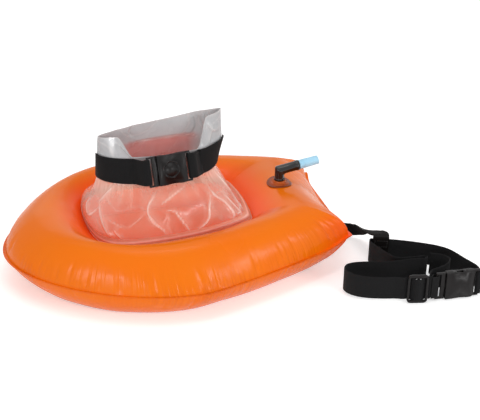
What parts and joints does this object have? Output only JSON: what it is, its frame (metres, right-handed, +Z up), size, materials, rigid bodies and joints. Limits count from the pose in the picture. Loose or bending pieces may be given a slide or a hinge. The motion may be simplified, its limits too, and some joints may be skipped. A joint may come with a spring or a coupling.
{
  "type": "open water swim buoy",
  "caption": "Inflated open water swim buoy with a roll-top dry bag, webbing mouth strap and buckle, swivelling oral valve, tow leash and waist belt with a slider and a side-release buckle.",
  "frame": {"origin": "on the ground under the middle of the float, the dry bag and the valve, on the float's plane of symmetry", "axes": "+X towards the nose that is towed first, +Y to the side away from the mouth buckle, +Z up"},
  "size_m": [0.6799, 0.4279, 0.247],
  "materials": {
    "float_vinyl": "satin",
    "weld_vinyl": "satin",
    "clear_film": "satin",
    "webbing": "matte",
    "buckle_plastic": "satin",
    "gloss_black_plastic": "gloss",
    "amber_vinyl": "satin",
    "blue_rubber": "satin",
    "blue_plastic": "satin"
  },
  "bodies": {
    "float": {"float_upper_panel": "float_vinyl", "float_lower_panel": "float_vinyl", "bag_weld_band": "weld_vinyl", "bag_film": "clear_film", "bag_floor": "float_vinyl", "mouth_strap_rear": "webbing", "mouth_strap_nose": "webbing", "mouth_socket": "buckle_plastic", "valve_base": "amber_vinyl", "tow_patch": "float_vinyl", "tow_leash": "webbing", "leash_loop": "webbing", "belt_webbing": "webbing", "belt_tail": "webbing", "belt_slider": "buckle_plastic", "belt_plug": "buckle_plastic"},
    "mouth_plug": {"mouth_plug": "buckle_plastic"},
    "mouth_prong_upper": {"mouth_prong_upper": "buckle_plastic"},
    "mouth_prong_lower": {"mouth_prong_lower": "buckle_plastic"},
    "valve_elbow": {"valve_elbow": "gloss_black_plastic"},
    "valve_mouthpiece": {"valve_mouthpiece": "blue_rubber"},
    "valve_poppet": {"valve_poppet": "blue_plastic"},
    "belt_socket": {"belt_socket": "buckle_plastic"},
    "belt_prong_upper": {"belt_prong_upper": "buckle_plastic"},
    "belt_prong_lower": {"belt_prong_lower": "buckle_plastic"}
  },
  "joints": [
    {"name": "mouth_plug_slide", "type": "slide", "parent": "float", "child": "mouth_plug", "axis": [-0.9962, -0.0872, 0], "range_m": [0, 0.034], "deforming": ["mouth_strap_rear", "mouth_prong_upper", "mouth_prong_lower"]},
    {"name": "mouth_prong_upper_flex", "type": "hinge", "parent": "mouth_plug", "child": "mouth_prong_upper", "pos_m": [-0.03259, -0.04839, 0.19318], "axis": [0.0808, -0.9238, 0.3742], "range_deg": [-8, 0], "stiffness_Nm_per_rad": 0.4},
    {"name": "mouth_prong_lower_flex", "type": "hinge", "parent": "mouth_plug", "child": "mouth_prong_lower", "pos_m": [-0.0319, -0.05622, 0.17371], "axis": [0.0808, -0.9238, 0.3742], "range_deg": [0, 8], "stiffness_Nm_per_rad": 0.4},
    {"name": "valve_swivel", "type": "hinge", "parent": "float", "child": "valve_elbow", "pos_m": [0.17765, 0, 0.10705], "axis": [0, 0, 1], "continuous": true},
    {"name": "valve_twist", "type": "hinge", "parent": "valve_elbow", "child": "valve_mouthpiece", "pos_m": [0.2093, 0, 0.13228], "axis": [0.989, 0, 0.1478], "range_deg": [0, 90]},
    {"name": "valve_poppet_slide", "type": "slide", "parent": "valve_elbow", "child": "valve_poppet", "axis": [-0.989, 0, -0.1478], "range_m": [0, 0.003]},
    {"name": "belt_socket_slide", "type": "slide", "parent": "float", "child": "belt_socket", "axis": [0.9962, -0.0872, 0], "range_m": [0, 0.034], "deforming": ["belt_webbing", "belt_prong_upper", "belt_prong_lower"]},
    {"name": "belt_prong_upper_flex", "type": "hinge", "parent": "float", "child": "belt_prong_upper", "pos_m": [0.36267, -0.22834, 0.034], "axis": [-0.0872, -0.9962, 0], "range_deg": [-8, 0], "stiffness_Nm_per_rad": 0.4},
    {"name": "belt_prong_lower_flex", "type": "hinge", "parent": "float", "child": "belt_prong_lower", "pos_m": [0.36267, -0.22834, 0.013], "axis": [-0.0872, -0.9962, 0], "range_deg": [0, 8], "stiffness_Nm_per_rad": 0.4}
  ],
  "couplings": [
    {"joint": "valve_poppet_slide", "follows": "valve_twist", "m_per_rad": 0.0012732}
  ]
}
